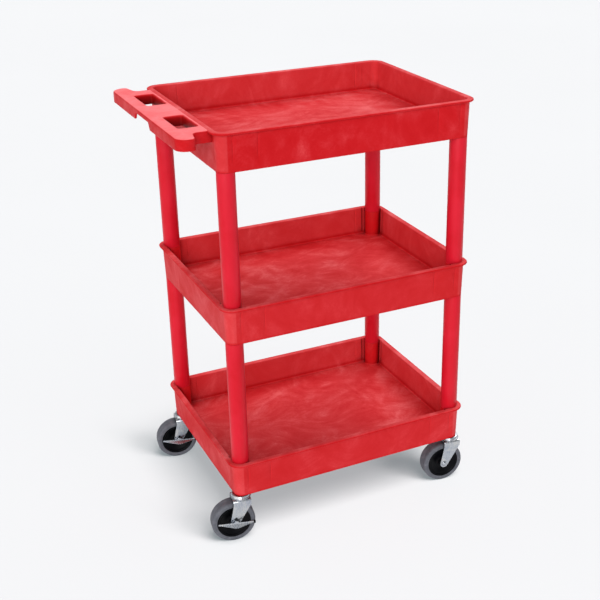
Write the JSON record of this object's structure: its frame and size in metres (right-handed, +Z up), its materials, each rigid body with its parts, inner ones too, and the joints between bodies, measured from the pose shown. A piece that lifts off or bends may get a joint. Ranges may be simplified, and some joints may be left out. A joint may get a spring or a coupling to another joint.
{
  "type": "book cart",
  "caption": "Moulded tub shelf cart with a push handle, round tube legs and swivelling casters, some with side brake pedals.",
  "frame": {"origin": "on the floor, midway between the handle's outer edge and the far rim and on the plane of symmetry; at their rest angles the far wheels reach 4.3 mm past the rim and a brake pedal's tip 2.8 mm past the handle, so the box's centre is 2.2 mm from the origin along X and 1.4 mm along Y", "axes": "+Z up, +X away from the push handle, +Y to the left of the person pushing"},
  "size_m": [0.6891, 0.4728, 0.9705],
  "materials": {
    "tub_plastic": "satin moulded structural foam, faint swirl",
    "leg_plastic": "smooth satin",
    "black_plastic": "moulded satin",
    "zinc_steel": "bright zinc plating",
    "tyre": "matt non-marking tread"
  },
  "bodies": {
    "cart": {"top_tub": "tub_plastic", "middle_tub": "tub_plastic", "bottom_tub": "tub_plastic", "upper_leg_front_left": "leg_plastic", "upper_leg_front_right": "leg_plastic", "upper_leg_rear_left": "leg_plastic", "upper_leg_rear_right": "leg_plastic", "lower_leg_front_left": "leg_plastic", "lower_leg_front_right": "leg_plastic", "lower_leg_rear_left": "leg_plastic", "lower_leg_rear_right": "leg_plastic", "socket_front_left": "black_plastic", "socket_front_right": "black_plastic", "socket_rear_left": "black_plastic", "socket_rear_right": "black_plastic", "grip_ring_front_left": "zinc_steel", "grip_ring_front_right": "zinc_steel", "grip_ring_rear_left": "zinc_steel", "grip_ring_rear_right": "zinc_steel", "stem_front_left": "zinc_steel", "stem_front_right": "zinc_steel", "stem_rear_left": "zinc_steel", "stem_rear_right": "zinc_steel", "race_cap_front_left": "zinc_steel", "race_cap_front_right": "zinc_steel", "race_cap_rear_left": "zinc_steel", "race_cap_rear_right": "zinc_steel"},
    "fork_front_left": {"fork_front_left": "zinc_steel", "swivel_balls_front_left": "zinc_steel", "bushing_front_left": "zinc_steel", "axle_bolt_front_left": "zinc_steel", "axle_nut_front_left": "zinc_steel"},
    "wheel_front_left": {"wheel_core_front_left": "black_plastic", "tyre_front_left": "tyre"},
    "fork_front_right": {"fork_front_right": "zinc_steel", "swivel_balls_front_right": "zinc_steel", "bushing_front_right": "zinc_steel", "axle_bolt_front_right": "zinc_steel", "axle_nut_front_right": "zinc_steel"},
    "wheel_front_right": {"wheel_core_front_right": "black_plastic", "tyre_front_right": "tyre"},
    "fork_rear_left": {"fork_rear_left": "zinc_steel", "swivel_balls_rear_left": "zinc_steel", "bushing_rear_left": "zinc_steel", "axle_bolt_rear_left": "zinc_steel", "axle_nut_rear_left": "zinc_steel"},
    "wheel_rear_left": {"wheel_core_rear_left": "black_plastic", "tyre_rear_left": "tyre"},
    "brake_rear_left": {"brake_lever_rear_left": "zinc_steel", "lever_tip_rear_left": "black_plastic"},
    "fork_rear_right": {"fork_rear_right": "zinc_steel", "swivel_balls_rear_right": "zinc_steel", "bushing_rear_right": "zinc_steel", "axle_bolt_rear_right": "zinc_steel", "axle_nut_rear_right": "zinc_steel"},
    "wheel_rear_right": {"wheel_core_rear_right": "black_plastic", "tyre_rear_right": "tyre"},
    "brake_rear_right": {"brake_lever_rear_right": "zinc_steel", "lever_tip_rear_right": "black_plastic"}
  },
  "joints": [
    {"name": "swivel_front_left", "type": "hinge", "parent": "cart", "child": "fork_front_left", "pos_m": [0.3159, 0.202, 0.11], "axis": [0, 0, 1], "continuous": true},
    {"name": "wheel_spin_front_left", "type": "hinge", "parent": "fork_front_left", "child": "wheel_front_left", "pos_m": [0.29502, 0.2042, 0.0508], "axis": [0.1045, 0.9945, 0], "continuous": true},
    {"name": "swivel_front_right", "type": "hinge", "parent": "cart", "child": "fork_front_right", "pos_m": [0.3159, -0.202, 0.11], "axis": [0, 0, 1], "continuous": true},
    {"name": "wheel_spin_front_right", "type": "hinge", "parent": "fork_front_right", "child": "wheel_front_right", "pos_m": [0.29502, -0.1998, 0.0508], "axis": [0.1045, 0.9945, 0], "continuous": true},
    {"name": "swivel_rear_left", "type": "hinge", "parent": "cart", "child": "fork_rear_left", "pos_m": [-0.2407, 0.202, 0.11], "axis": [0, 0, 1], "continuous": true},
    {"name": "wheel_spin_rear_left", "type": "hinge", "parent": "fork_rear_left", "child": "wheel_rear_left", "pos_m": [-0.26144, 0.20529, 0.0508], "axis": [0.1564, 0.9877, 0], "continuous": true},
    {"name": "brake_rear_left", "type": "hinge", "parent": "fork_rear_left", "child": "brake_rear_left", "pos_m": [-0.26144, 0.20529, 0.0508], "axis": [0.1564, 0.9877, 0], "range_deg": [0, 15]},
    {"name": "swivel_rear_right", "type": "hinge", "parent": "cart", "child": "fork_rear_right", "pos_m": [-0.2407, -0.202, 0.11], "axis": [0, 0, 1], "continuous": true},
    {"name": "wheel_spin_rear_right", "type": "hinge", "parent": "fork_rear_right", "child": "wheel_rear_right", "pos_m": [-0.26144, -0.19871, 0.0508], "axis": [0.1564, 0.9877, 0], "continuous": true},
    {"name": "brake_rear_right", "type": "hinge", "parent": "fork_rear_right", "child": "brake_rear_right", "pos_m": [-0.26144, -0.19871, 0.0508], "axis": [0.1564, 0.9877, 0], "range_deg": [0, 15]}
  ]
}
